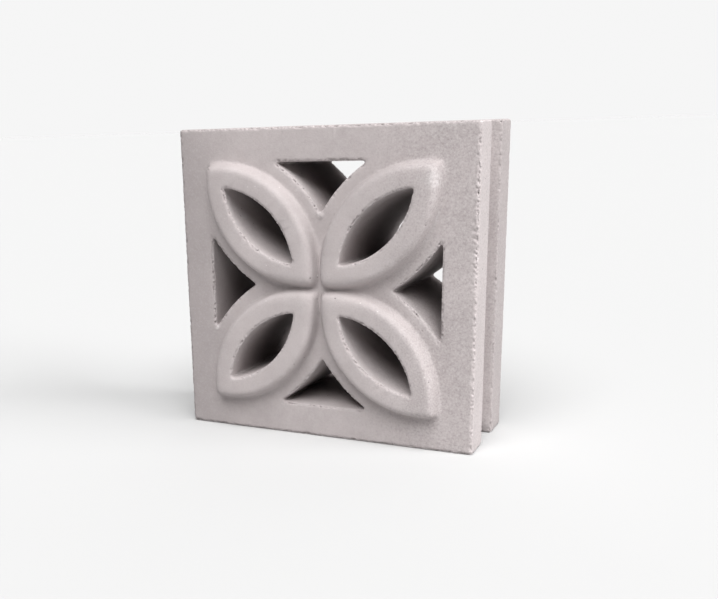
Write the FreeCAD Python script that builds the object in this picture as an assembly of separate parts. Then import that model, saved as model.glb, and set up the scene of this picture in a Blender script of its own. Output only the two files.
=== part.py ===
import FreeCAD, Part
import math
import os

from FreeCAD import Vector

# Decorative concrete screen block, cast in one piece. All sizes are in millimetres.
# The block stands upright. +X runs along the wall, +Z is up, and the patterned face looks
# towards -Y. The origin is at the middle of the space the block stands on.

# Outside form
face_side = 190.0
body_depth = 68.0
arris_radius = 1.0

# Groove for mortar and rods, round all four edges
groove_width = 23.0
groove_depth = 9.0
groove_wall_lean = 1.6
groove_floor_radius = 3.5
groove_mouth_chamfer = 0.6

# Raised petals, one on each diagonal of the face. A petal is a lens with a flat crest.
petal_height = 9.5
petal_arc_radius = 64.5
petal_half_width = 26.0
petal_slope_width = 2.4
petal_shoulder_radius = 4.0
petal_middle = 53.0

# Pointed hole through each petal, measured at the crest
petal_hole_length = 63.6
petal_hole_width = 22.0

# Curved triangular holes between the petals, measured at the flat of the front
triangle_apex = 44.5
triangle_base = 74.5
triangle_half_base = 29.5
triangle_side_bulge = 2.4

# All holes narrow towards the back, so that their cores can be drawn
hole_taper_angle = 2.0
hole_arris_chamfer = 0.6

# Places worked out from the sizes above
front_y = petal_height - (petal_height + body_depth) / 2
rear_y = front_y + body_depth
crest_y = front_y - petal_height
middle_y = (front_y + rear_y) / 2
half_side = face_side / 2
hole_taper = math.tan(math.radians(hole_taper_angle))
quarter_turns = (0, 90, 180, 270)

# How far a cutter passes outside the block, and a petal reaches down into it
overrun = 5.0


def turned(shape, angle):
    """A shape drawn round the middle of the face, turned and lifted to its place."""
    about_middle = shape.rotated(Vector(0, 0, 0), Vector(0, 1, 0), angle)
    return about_middle.translated(Vector(0, 0, half_side))


def outline(corners):
    """A flat face from its corners, each given by a distance along X and a depth."""
    points = [Vector(x, y, 0) for x, y in corners]
    return Part.Face(Part.makePolygon(points + points[:1]))


def spun(section, centre):
    """A solid turned a full circle about an axis along Y, from half its section."""
    return section.revolve(Vector(0, 0, 0), Vector(0, 1, 0), 360).translated(centre)


def shared(sides):
    """The lens that the two round sides of a petal or a pointed hole have in common."""
    return sides[0].common(sides[1])


def slab():
    """The square body with its rounded outer arrises."""
    block = Part.makeBox(face_side, body_depth, face_side, Vector(-half_side, front_y, 0))
    return block.makeFillet(arris_radius, block.Edges)


def groove_section():
    """The groove's section at the right edge of the block, closed outside it."""
    half_mouth = groove_width / 2
    half_floor = half_mouth - groove_wall_lean
    half_flare = half_mouth + groove_mouth_chamfer
    front_half = [
        (half_side + overrun, middle_y - half_flare - overrun),
        (half_side, middle_y - half_flare),
        (half_side - groove_mouth_chamfer, middle_y - half_mouth),
        (half_side - groove_depth, middle_y - half_floor),
    ]
    back_half = [(x, 2 * middle_y - y) for x, y in reversed(front_half)]
    return outline(front_half + back_half)


def edge_groove():
    """One straight run of the groove, past both corners of the block, with a rounded floor."""
    run = groove_section().extrude(Vector(0, 0, face_side + 2 * overrun))
    run.translate(Vector(0, 0, -half_side - overrun))
    floor_edges = [e for e in run.Edges if is_floor_edge(e)]
    return run.makeFillet(groove_floor_radius, floor_edges)


def is_floor_edge(edge):
    upright = abs(edge.tangentAt(edge.FirstParameter).z) > 0.99
    return upright and edge.CenterOfMass.x < half_side - groove_depth / 2


def petal_section():
    """Half section of one round side of a petal, from its axis out to its foot."""
    slope = math.atan2(petal_height, petal_slope_width)
    crest_edge = Vector(petal_arc_radius - petal_slope_width, crest_y, 0)
    foot = Vector(petal_arc_radius, front_y, 0)
    run = petal_shoulder_radius * math.tan(slope / 2)
    crest_end = crest_edge - Vector(run, 0, 0)
    slope_start = crest_edge + Vector(math.cos(slope), math.sin(slope), 0) * run
    arc_centre = crest_end + Vector(0, petal_shoulder_radius, 0)
    towards_edge = Vector(math.sin(slope / 2), -math.cos(slope / 2), 0)
    shoulder = Part.Arc(crest_end, arc_centre + towards_edge * petal_shoulder_radius, slope_start)
    root = foot + Vector(0, overrun, 0)
    axis_root = Vector(0, root.y, 0)
    axis_crest = Vector(0, crest_y, 0)
    lines = Part.makePolygon([slope_start, foot, root, axis_root, axis_crest, crest_end])
    return Part.Face(Part.Wire([shoulder.toShape()] + lines.Edges))


def petal():
    """A raised lens with a flat crest and a ridge at each tip, along +X from the middle of the face."""
    side = petal_section()
    offset = petal_arc_radius - petal_half_width
    return shared([spun(side, Vector(petal_middle, 0, z)) for z in (offset, -offset)])


def arris_cutter(arc_radius, mouth_y, widening):
    """Half section that breaks the arris at a hole's mouth; the arc's radius widens by that much."""
    edge = hole_arris_chamfer
    return outline([
        (0, mouth_y - edge),
        (arc_radius + 2 * widening, mouth_y - edge),
        (arc_radius, mouth_y + edge),
        (0, mouth_y + edge),
    ])


def leaning_cylinder(arc_radius, centre, lean):
    """A cylinder right through the block, about a point at a hole's mouth, leaning as the hole tapers."""
    axis = Vector(0, 1, 0) + lean * hole_taper
    length = (rear_y - centre.y + 2 * overrun) * axis.Length
    return Part.makeCylinder(arc_radius, length, centre - axis * overrun, axis)


def pointed_hole():
    """Cutters for the hole through a petal that lies along +X: the passage, and its broken arris."""
    half_length = petal_hole_length / 2
    half_width = petal_hole_width / 2
    arc_radius = (half_length ** 2 + half_width ** 2) / (2 * half_width)
    offset = arc_radius - half_width
    arris = arris_cutter(arc_radius, crest_y, hole_arris_chamfer)
    mouths = []
    passages = []
    for side in (1, -1):
        centre = Vector(petal_middle, crest_y, side * offset)
        mouths.append(spun(arris, Vector(centre.x, 0, centre.z)))
        passages.append(leaning_cylinder(arc_radius, centre, Vector(0, 0, side)))
    return [shared(passages), shared(mouths)]


def wedge(side):
    """The space below a straight side, given as heights at depths, as wide as the face."""
    foot = [(y, 0) for y, z in reversed(side)]
    corners = [Vector(-half_side, y, z) for y, z in side + foot]
    return Part.Face(Part.makePolygon(corners + corners[:1])).extrude(Vector(face_side, 0, 0))


def triangle_arc():
    """Radius, centre and outward direction of the right side of the hole above the middle."""
    apex = Vector(0, front_y, triangle_apex)
    corner = Vector(triangle_half_base, front_y, triangle_base)
    chord = corner - apex
    arc_radius = ((chord.Length / 2) ** 2 + triangle_side_bulge ** 2) / (2 * triangle_side_bulge)
    outward = Vector(chord.z, 0, -chord.x).normalize()
    centre = (apex + corner) * 0.5 + outward * (arc_radius - triangle_side_bulge)
    return arc_radius, centre, outward


def triangle_hole():
    """Cutters for the hole above the middle of the face: the passage, and its broken arris."""
    arc_radius, arc_centre, outward = triangle_arc()
    edge = hole_arris_chamfer
    arris = arris_cutter(arc_radius, front_y, -edge)
    mouth = wedge([(front_y - edge, triangle_base + 2 * edge), (front_y + edge, triangle_base)])
    ends = (front_y - overrun, rear_y + overrun)
    passage = wedge([(y, triangle_base - (y - front_y) * hole_taper) for y in ends])
    for side in (1, -1):
        centre = Vector(side * arc_centre.x, front_y, arc_centre.z)
        mouth = mouth.cut(spun(arris, Vector(centre.x, 0, centre.z)))
        lean = Vector(-side * outward.x, 0, -outward.z)
        passage = passage.cut(leaning_cylinder(arc_radius, centre, lean))
    return [passage, mouth]


def screen_block():
    """The whole casting: a slab with raised petals, less its grooves and holes."""
    petals = [turned(petal(), angle + 45) for angle in quarter_turns]
    block = slab().fuse(petals).removeSplitter()
    cutters = []
    for angle in quarter_turns:
        cutters.append(turned(edge_groove(), angle))
        cutters += [turned(cutter, angle + 45) for cutter in pointed_hole()]
        cutters += [turned(cutter, angle) for cutter in triangle_hole()]
    return block.cut(cutters)


os.makedirs("parts", exist_ok=True)
screen_block().exportStep("parts/screen_block.step")
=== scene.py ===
import math

import bmesh
import bpy
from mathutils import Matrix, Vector, noise


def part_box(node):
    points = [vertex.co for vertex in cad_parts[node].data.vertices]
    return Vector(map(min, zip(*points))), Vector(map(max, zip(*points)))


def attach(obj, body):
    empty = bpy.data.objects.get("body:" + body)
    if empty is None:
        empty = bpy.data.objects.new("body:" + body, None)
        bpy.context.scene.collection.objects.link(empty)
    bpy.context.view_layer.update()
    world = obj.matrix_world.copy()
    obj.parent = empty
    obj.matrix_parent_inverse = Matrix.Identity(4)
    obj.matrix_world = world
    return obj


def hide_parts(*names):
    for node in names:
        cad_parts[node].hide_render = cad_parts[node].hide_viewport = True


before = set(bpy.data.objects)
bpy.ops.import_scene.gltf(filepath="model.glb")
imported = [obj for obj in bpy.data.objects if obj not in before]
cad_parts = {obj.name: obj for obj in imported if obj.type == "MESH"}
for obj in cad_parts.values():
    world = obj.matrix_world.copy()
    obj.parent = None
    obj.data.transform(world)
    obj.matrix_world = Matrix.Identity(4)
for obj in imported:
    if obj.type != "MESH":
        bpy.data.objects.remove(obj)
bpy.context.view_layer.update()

# The scene is in metres, and sizes are written as millimetres times MM. +X runs along the wall,
# +Z is up, and the patterned face looks towards -Y.
MM = 0.001

# Camera, from the perspective of the photograph, whose size is 718 x 599
camera_place = Vector((226.5, -546.2, 190.3)) * MM
camera_turns = [math.radians(angle) for angle in (74.25, 1.92, 27.57)]
focal_length = 46.96
sensor_width = 36.0
camera_shift = (0.1486, 0.1274)

# Lights: azimuth from the front towards the right, elevation and breadth in degrees, and strength
lights = {
    "front_light": (16, 58, 50, 4.40),
    "right_light": (90, 28, 40, 3.00),
    "rear_light": (180, 45, 60, 0.60),
}

# Studio
floor_reach = 60.0
floor_paleness = 0.522
surround_strength = 0.92

# Places on the block, from the frame and the height of the petals
low_corner, high_corner = (Vector(corner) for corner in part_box("screen_block"))
middle = (low_corner + high_corner) / 2
half_side = (high_corner.x - low_corner.x) / 2
petal_height = 9.5 * MM
field_y = low_corner.y + petal_height

# Soft valleys where the petals meet round the middle of the face, and blunt outer tips, which
# lie at tip_place both across and up from the middle. A full value is the share of a width or
# reach within which they are eased the most.
valley_half_width = 12 * MM
valley_full_width = 0.6
valley_reach = 36 * MM
valley_full_reach = 0.55
tip_place = 71.5 * MM
tip_reach = 15 * MM
tip_full_reach = 0.3
tip_softness = 0.5
eased_depth = 1 * MM
soft_passes = 60
soft_factor = 0.85

# Lean of the upper right petal's hole: how far the hole lies both across and up from the middle,
# half its width over half its length, how far out the lean is full and where it ends, and the
# shift at the rear
core_offset = 37.5 * MM
core_slimness = 11 / 31.8
core_near = 12 * MM
core_far = 22 * MM
core_lean = 4.2 * MM

# Cast surface: its fineness, how much it is smoothed between and at the broken places, its
# slight swell, and where in the noise the block lies
voxel = 0.6 * MM
skin_triangles = 190000
merge_distance = 0.001 * MM
light_passes = 2
heavy_passes = 12
swell_size = 28 * MM
swell_depth = 0.22 * MM
random_place = Vector((3.7, 1.9, 8.2))

# Broken arrises. The heavy smoothing moves an arris by more than arris_move past the light one.
# Limits are where a noise or a sharpness starts to count and where it counts in full.
arris_move = 0.05 * MM
nick_size = 1.6 * MM
nick_limits = (0.45, 0.60)
nick_depth = 1.2 * MM
nick_rounding = 0.5
chip_size = 6.0 * MM
chip_limits = (0.40, 0.60)
chip_rounding = 0.4
ragged_size = 0.9 * MM
ragged_limits = (0.45, 0.60)
ragged_depth = 0.55 * MM
brittle_limits = (0.02 * MM, 0.06 * MM)

# Right front arris, the roughest: how far in from the side it starts and counts in full, how
# far behind the field of the face it ends and how gradually, the height where it is roughest,
# how far above and below that it starts to ease and is at its least, that least share, and
# how much it adds to the rounding
right_arris_start = 4.5 * MM
right_arris_full = 1.5 * MM
right_arris_depth = 2 * MM
right_arris_fade = 1 * MM
right_arris_height = 138 * MM
right_arris_spread = (22 * MM, 45 * MM)
right_arris_least = 0.25
right_arris_rounding = 0.8

# Crumbling on the right front arris and in the rough places
crumb_size = 1.3 * MM
crumb_limits = (0.45, 0.75)
crumb_depth = 0.9 * MM
patch_crumbling = 0.4

# Rough places of the casting: the middle of each, its radius, and how far it stands up
rough_places = [
    (Vector((71.0, -36.0, 159.5)) * MM, 9 * MM, 0.0),
    (Vector((0.0, -29.0, 138.5)) * MM, 3 * MM, 1.2 * MM),
    (Vector((-74.0, -29.0, 66.0)) * MM, 3 * MM, 0.8 * MM),
]

# Painted shade inside the holes: depths behind the field and before the back between which the
# colour darkens, and the rim of the block that holds no hole
hole_shade_front = (8 * MM, 34 * MM)
hole_shade_rear = (1 * MM, 9 * MM)
solid_rim = 12 * MM

# Tones: a level of grey and its warmth, and how far warmth lifts red and lowers green and blue
warm_tint = (0.075, -0.035, -0.04)
dark_tone = (0.355, 1.0)
pale_tone = (0.395, 1.0)
blotch_tone = (0.425, 0.8)
# Painted shade on the left side of the block
left_shade_tone = (0.2, 1.0)
# Painted light on the front strip of the right side, and painted shade on its rear half
front_strip_light_tone = (0.56, 0.8)
rear_strip_shade_tone = (0.24, 1.0)
pale_grain_tone = (0.50, 0.7)
dark_grain_tone = (0.24, 1.0)
# Pinholes are painted dark as the shade inside them
pinhole_shade_tone = (0.10, 1.0)
speck_tone = (0.62, 0.5)
rubble_tone = (0.56, 0.5)
worn_tone = (0.86, 0.3)
# Painted shade deep inside the holes
hole_shade_tone = (0.10, 2.5)

# Patterns: the size of their features, with the detail and the roughness of the noise
cloud_noise = (30 * MM, 3, 0.55)
blotch_noise = (7 * MM, 4, 0.6)
sand_noise = (1.1 * MM, 2, 0.6)
dust_noise = (0.45 * MM, 1, 0.5)
crumb_noise = (1.6 * MM, 2, 0.6)

# Spots: the spacing of their cells, the radii in spacings where a spot is full and where it
# ends, and the limits of the chance that picks a cell
pinholes = (4.6 * MM, (0.06, 0.13), (0.75, 0.77))
specks = (5.3 * MM, (0.06, 0.12), (0.74, 0.76))

# Where along X or Y a tone starts and where it is full
# Painted shade on the left side, fading out towards the middle
left_shade_reach = (-95 * MM, -50 * MM)
# Where the painted light and shade on the right side lie
right_edge_reach = (92.8 * MM, 94.4 * MM)
rear_half_reach = (-10 * MM, 20 * MM)
sandy_reach = (20 * MM, 75 * MM)

# Where a pattern starts to show and where it shows in full
cloud_limits = (0.3, 0.72)
blotch_limits = (0.35, 0.7)
grain_limits = (0.5, 0.72)
rubble_limits = (0.1, 0.8)
rubble_crumb_limits = (0.3, 0.7)
worn_limits = (0.04, 0.14)
worn_crumb_limits = (0.35, 0.6)

# How strongly each tone covers what lies under it
blotch_share = 0.35
# Painted shade on the left side
left_shade_share = 0.42
# Painted light on the front strip of the right side, and painted shade on its rear half
front_strip_light_share = 0.25
rear_strip_shade_share = 0.35
sandy_share = 0.35
sandy_least = 0.15
# Pinholes are painted dark as the shade inside them
pinhole_shade_share = 0.7
speck_share = 0.55
rubble_share = 0.7
worn_share = 0.7
worn_least = 0.3
# Painted shade deep inside the holes
hole_shade_share = 0.65

# Fine relief and sheen of the concrete
sand_height = 0.6
dust_height = 0.35
pinhole_depth = 1.2
relief_distance = 0.2 * MM
relief_strength = 0.8
concrete_roughness = 0.86
sand_roughness = 0.12
concrete_specular = 0.2

# Sockets of a Mix node that is set to colours
mix_share, mix_under, mix_over, mix_result = 0, 6, 7, 2


def unit_noise(place, size):
    """Smooth noise from 0 to 1 with features of a size."""
    return 0.5 + 0.5 * noise.noise(place / size + random_place)


def ramp(value, start, end):
    """Rises from 0 to 1 as the value goes from start to end."""
    return min(1.0, max(0.0, (value - start) / (end - start)))


def speckle(place, size, limits):
    """Scattered spots of a size, 0 between them and 1 where the noise passes its limits."""
    return ramp(unit_noise(place, size), *limits)


def merged_copy(name, node):
    """A new object with the shape of a node of the frame, its corners joined."""
    shape = bmesh.new()
    shape.from_mesh(node.data)
    bmesh.ops.remove_doubles(shape, verts=shape.verts, dist=merge_distance)
    mesh = bpy.data.meshes.new(name)
    shape.to_mesh(mesh)
    shape.free()
    piece = bpy.data.objects.new(name, mesh)
    bpy.context.collection.objects.link(piece)
    return piece


def apply_modifiers(piece):
    """Bakes the modifiers of a piece into its mesh."""
    evaluated = piece.evaluated_get(bpy.context.evaluated_depsgraph_get())
    made = bpy.data.meshes.new_from_object(evaluated)
    old = piece.data
    piece.modifiers.clear()
    piece.data = made
    bpy.data.meshes.remove(old)
    made.name = piece.name


def right_front_arris(place):
    """1 close to the right front arris at its roughest, 0 away from it."""
    limits = (half_side - right_arris_start, half_side - right_arris_full)
    beside = ramp(place.x - middle.x, *limits)
    in_front = ramp(field_y + right_arris_depth - place.y, 0, right_arris_fade)
    height = 1 - ramp(abs(place.z - right_arris_height), *right_arris_spread)
    return beside * in_front * (right_arris_least + (1 - right_arris_least) * height)


def roughness_at(place):
    """1 in the middle of a rough place, falling to 0 at its radius, and how far it stands up."""
    return max(
        (ramp(radius - (place - centre).length, 0, radius), lift)
        for centre, radius, lift in rough_places
    )


def hole_shade_at(place):
    """Painted shade: 0 outside the holes and near both their ends, rising to 1 deep inside."""
    across, up = abs(place.x - middle.x), abs(place.z - middle.z)
    if max(across, up) > half_side - solid_rim:
        return 0.0
    from_rear = ramp(high_corner.y - place.y, *hole_shade_rear)
    return ramp(place.y - field_y, *hole_shade_front) * from_rear


def softness_at(place):
    """How far the petals' sides are eased: most in the valleys round the middle, less at the tips."""
    if place.y > field_y + eased_depth:
        return 0.0
    across, up = abs(place.x - middle.x), abs(place.z - middle.z)
    full_width = valley_full_width * valley_half_width
    beside = 1 - ramp(min(across, up), full_width, valley_half_width)
    around = 1 - ramp(math.hypot(across, up), valley_full_reach * valley_reach, valley_reach)
    from_tip = math.hypot(across - tip_place, up - tip_place)
    tip = 1 - ramp(from_tip, tip_full_reach * tip_reach, tip_reach)
    return max(beside * around, tip_softness * tip)


def smoothed(shape, points, passes, factor=0.5):
    """The places of the points after some passes of smoothing."""
    for _ in range(passes):
        bmesh.ops.smooth_vert(
            shape, verts=points, factor=factor, use_axis_x=True, use_axis_y=True, use_axis_z=True
        )
    return [v.co.copy() for v in points]


def soften(shape):
    """Eases the petals' sides in their valleys and at their tips."""
    shares = {v: softness_at(v.co) for v in shape.verts}
    before = {v: v.co.copy() for v, share in shares.items() if share > 0}
    smoothed(shape, list(before), soft_passes, soft_factor)
    for vert, place in before.items():
        vert.co = place.lerp(vert.co, shares[vert])


def lean_core(shape):
    """Leans the upper right petal's hole towards the lower right at its rear."""
    for vert in shape.verts:
        across = vert.co.x - middle.x - core_offset
        up = vert.co.z - middle.z - core_offset
        along, beside = (across + up) / math.sqrt(2), (across - up) / math.sqrt(2)
        near = 1 - ramp(math.hypot(along * core_slimness, beside), core_near, core_far)
        shift = core_lean * near * ramp(vert.co.y, field_y, high_corner.y) / math.sqrt(2)
        vert.co += Vector((shift, 0, -shift))


def breakage(place, sharp, edge):
    """How far a place on an arris is rounded off, and how deep the nicks and chips go there."""
    nick = speckle(place, nick_size, nick_limits)
    chip = speckle(place, chip_size, chip_limits)
    ragged = speckle(place, ragged_size, ragged_limits)
    rounding = nick * (nick_rounding + chip_rounding * chip + right_arris_rounding * edge)
    depth = (nick_depth * nick * chip + ragged_depth * ragged) * ramp(sharp, *brittle_limits)
    return min(1.0, rounding), depth


def wear(piece):
    """Softens and leans the casting, breaks its arrises, swells its faces slightly, and marks
    its arrises, its rough places and the painted shade deep inside its holes for the material."""
    shape = bmesh.new()
    shape.from_mesh(piece.data)
    soften(shape)
    lean_core(shape)
    shape.normal_update()
    crisp = [(v.co.copy(), v.normal.copy()) for v in shape.verts]
    light = smoothed(shape, shape.verts, light_passes)
    heavy = smoothed(shape, shape.verts, heavy_passes)
    arris = shape.verts.layers.float.new("arris")
    rubble = shape.verts.layers.float.new("rubble")
    # This layer marks where shade is painted deep inside the holes
    hole_shade = shape.verts.layers.float.new("hole_shade")
    for vert, (place, normal), near, far in zip(shape.verts, crisp, light, heavy):
        sharp = (place - near).dot(normal)
        edge = right_front_arris(place)
        patch, lift = roughness_at(place)
        depth = swell_depth * unit_noise(place, swell_size)
        rounding = 0.0
        if (near - far).length_squared > arris_move ** 2:
            rounding, bite = breakage(place, sharp, edge)
            depth += bite
        depth -= lift * patch
        crumbling = max(edge, patch_crumbling * patch)
        if crumbling > 0:
            depth += crumb_depth * crumbling * speckle(place, crumb_size, crumb_limits)
        vert.co = near.lerp(far, rounding) - normal * depth
        vert[arris] = sharp / MM
        vert[rubble] = patch
        vert[hole_shade] = hole_shade_at(place)
    shape.to_mesh(piece.data)
    shape.free()


def screen_casting():
    """The concrete block with its worn cast surface."""
    piece = merged_copy("screen_casting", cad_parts["screen_block"])
    remesh = piece.modifiers.new("voxels", "REMESH")
    remesh.mode = "VOXEL"
    remesh.voxel_size = voxel
    apply_modifiers(piece)
    wear(piece)
    triangles = sum(len(face.vertices) - 2 for face in piece.data.polygons)
    thin = piece.modifiers.new("thin", "DECIMATE")
    thin.ratio = min(1.0, skin_triangles / triangles)
    apply_modifiers(piece)
    piece.data.shade_smooth()
    return piece


class Output:
    """What a node gives. Where it is a number, each sign in an expression adds a Math node."""

    def __init__(self, nodes, socket):
        self.nodes = nodes
        self.socket = socket

    def combine(self, operation, first, second):
        return self.nodes.add("ShaderNodeMath", {"operation": operation}, {0: first, 1: second})

    def __add__(self, other):
        return self.combine("ADD", self, other)

    def __radd__(self, other):
        return self.combine("ADD", other, self)

    def __sub__(self, other):
        return self.combine("SUBTRACT", self, other)

    def __rsub__(self, other):
        return self.combine("SUBTRACT", other, self)

    def __mul__(self, other):
        return self.combine("MULTIPLY", self, other)

    def __rmul__(self, other):
        return self.combine("MULTIPLY", other, self)

    def above(self, start, end):
        """Rises from 0 to 1 between two values, smoothly."""
        settings = {"interpolation_type": "SMOOTHSTEP"}
        sockets = {"Value": self, "From Min": start, "From Max": end}
        return self.nodes.add("ShaderNodeMapRange", settings, sockets)


class Nodes:
    """Adds nodes to the tree of one material."""

    def __init__(self, name):
        self.material = bpy.data.materials.new(name)
        self.material.use_nodes = True
        self.tree = self.material.node_tree
        self.shader = self.tree.nodes["Principled BSDF"]

    def put(self, socket, value):
        """Sets a socket, or links it."""
        if isinstance(value, Output):
            self.tree.links.new(value.socket, socket)
        else:
            socket.default_value = value

    def add(self, kind, settings=None, sockets=None, output=0):
        """Adds one node: its settings first, then the values or links of its sockets."""
        node = self.tree.nodes.new(kind)
        for name, value in (settings or {}).items():
            setattr(node, name, value)
        for name, value in (sockets or {}).items():
            self.put(node.inputs[name], value)
        return Output(self, node.outputs[output])

    def mark(self, name):
        """What the mesh holds at a place under a name."""
        return self.add("ShaderNodeAttribute", {"attribute_name": name}, output="Fac")

    def along(self, place, axis):
        """How far along an axis a place lies, in metres."""
        return self.add("ShaderNodeSeparateXYZ", None, {"Vector": place}, axis)

    def noise(self, place, size, detail, roughness):
        """Noise from 0 to 1 with features of a size in metres."""
        sockets = {"Vector": place, "Scale": 1 / size, "Detail": detail, "Roughness": roughness}
        return self.add("ShaderNodeTexNoise", None, sockets)

    def cells(self, place, spacing, output):
        """Distance to the nearest of many scattered points, or that point's random colour."""
        sockets = {"Vector": place, "Scale": 1 / spacing}
        return self.add("ShaderNodeTexVoronoi", None, sockets, output)

    def spots(self, place, spacing, radii, chances):
        """1 in small round spots, in those of many scattered cells that chance picks."""
        distance = self.cells(place, spacing, "Distance")
        chance = self.cells(place, spacing, "Color")
        return (1 - distance.above(*radii)) * chance.above(*chances)

    def cover(self, colour, share, tone):
        """Lays a tone over a colour, as strongly as a share from 0 to 1."""
        sockets = {mix_share: share, mix_under: colour, mix_over: grey(*tone)}
        return self.add("ShaderNodeMix", {"data_type": "RGBA"}, sockets, mix_result)


def grey(level, warmth):
    """The colour of a tone."""
    return [level * (1 + tint * warmth) for tint in warm_tint] + [1.0]


def concrete():
    """Fine pale cast concrete: mottled, sandy, with pinholes, pale on its worn arrises. Shade is
    painted in its pinholes, on its left side, at the rear of its right side and deep in its
    holes, and light is painted on the front of its right side.
    """
    nodes = Nodes("concrete")
    place = nodes.add("ShaderNodeTexCoord", output="Object")
    across = nodes.along(place, "X")
    sand = nodes.noise(place, *sand_noise)
    dust = nodes.noise(place, *dust_noise)
    crumbs = nodes.noise(place, *crumb_noise)
    pinhole = nodes.spots(place, *pinholes)

    cloud = nodes.noise(place, *cloud_noise).above(*cloud_limits)
    blotch = nodes.noise(place, *blotch_noise).above(*blotch_limits)
    colour = nodes.cover(grey(*dark_tone), cloud, pale_tone)
    colour = nodes.cover(colour, blotch * blotch_share, blotch_tone)

    # Painted shade, darker towards the left side
    left_shaded = 1 - across.above(*left_shade_reach)
    colour = nodes.cover(colour, left_shaded * left_shade_share, left_shade_tone)
    # Painted light on the front strip of the right side and painted shade on its rear half
    right_edge = across.above(*right_edge_reach)
    rear_half = nodes.along(place, "Y").above(*rear_half_reach)
    front_strip_light = right_edge * (1 - rear_half) * front_strip_light_share
    colour = nodes.cover(colour, front_strip_light, front_strip_light_tone)
    colour = nodes.cover(colour, right_edge * rear_half * rear_strip_shade_share, rear_strip_shade_tone)

    sandy = across.above(*sandy_reach) * sandy_share + sandy_least
    colour = nodes.cover(colour, sand.above(*grain_limits) * sandy, pale_grain_tone)
    colour = nodes.cover(colour, (1 - sand).above(*grain_limits) * sandy, dark_grain_tone)
    # Pinholes painted dark as the shade inside them
    colour = nodes.cover(colour, pinhole * pinhole_shade_share, pinhole_shade_tone)
    colour = nodes.cover(colour, nodes.spots(place, *specks) * speck_share, speck_tone)

    rubble = nodes.mark("rubble").above(*rubble_limits) * crumbs.above(*rubble_crumb_limits)
    colour = nodes.cover(colour, rubble * rubble_share, rubble_tone)
    worn = nodes.mark("arris").above(*worn_limits)
    worn = worn * (crumbs.above(*worn_crumb_limits) * worn_share + worn_least)
    colour = nodes.cover(colour, worn, worn_tone)
    # Painted shade deep inside the holes, darker the deeper in
    colour = nodes.cover(colour, nodes.mark("hole_shade") * hole_shade_share, hole_shade_tone)

    height = sand * sand_height + dust * dust_height - pinhole * pinhole_depth
    relief = {"Height": height, "Distance": relief_distance, "Strength": relief_strength}
    nodes.put(nodes.shader.inputs["Base Color"], colour)
    nodes.put(nodes.shader.inputs["Roughness"], concrete_roughness + sand * sand_roughness)
    nodes.put(nodes.shader.inputs["Specular IOR Level"], concrete_specular)
    nodes.put(nodes.shader.inputs["Normal"], nodes.add("ShaderNodeBump", None, relief))
    return nodes.material


def pale_paper():
    """Matt paper for the floor, without any sheen."""
    nodes = Nodes("pale_paper")
    nodes.put(nodes.shader.inputs["Base Color"], [floor_paleness] * 3 + [1.0])
    nodes.put(nodes.shader.inputs["Roughness"], 1.0)
    nodes.put(nodes.shader.inputs["Specular IOR Level"], 0.0)
    return nodes.material


def studio_floor():
    """A pale floor as far as the eye can see."""
    shape = bmesh.new()
    bmesh.ops.create_grid(shape, x_segments=1, y_segments=1, size=floor_reach)
    mesh = bpy.data.meshes.new("studio_floor")
    shape.to_mesh(mesh)
    shape.free()
    floor = bpy.data.objects.new("studio_floor", mesh)
    bpy.context.collection.objects.link(floor)
    mesh.materials.append(pale_paper())


def soft_light(name, azimuth, elevation, breadth, strength):
    """A broad even light from far away. Azimuth 0 stands in front, and 90 at the right."""
    data = bpy.data.lights.new(name, "SUN")
    data.angle = math.radians(breadth)
    data.energy = strength
    light = bpy.data.objects.new(name, data)
    around, up = math.radians(azimuth), math.radians(elevation)
    aside, behind = math.sin(around) * math.cos(up), -math.cos(around) * math.cos(up)
    towards = Vector((aside, behind, math.sin(up)))
    light.rotation_euler = (-towards).to_track_quat("-Z", "Y").to_euler()
    bpy.context.collection.objects.link(light)


def pale_surround():
    """A white surround that is seen but lights nothing."""
    world = bpy.data.worlds.new("surround")
    world.use_nodes = True
    background = world.node_tree.nodes["Background"]
    background.inputs["Color"].default_value = (1.0, 1.0, 1.0, 1.0)
    background.inputs["Strength"].default_value = surround_strength
    bpy.context.scene.world = world
    world.cycles_visibility.diffuse = False
    world.cycles_visibility.glossy = False


def photo_camera():
    """Stands where the photograph was taken."""
    data = bpy.data.cameras.new("photo_camera")
    data.lens = focal_length
    data.sensor_width = sensor_width
    data.shift_x, data.shift_y = camera_shift
    camera = bpy.data.objects.new("photo_camera", data)
    camera.location = camera_place
    camera.rotation_euler = camera_turns
    bpy.context.collection.objects.link(camera)
    bpy.context.scene.camera = camera


photo_camera()
for name, values in lights.items():
    soft_light(name, *values)
pale_surround()
bpy.context.scene.view_settings.view_transform = "Standard"
studio_floor()

casting = screen_casting()
casting.data.materials.clear()
casting.data.materials.append(concrete())
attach(casting, "root")
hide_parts("screen_block")
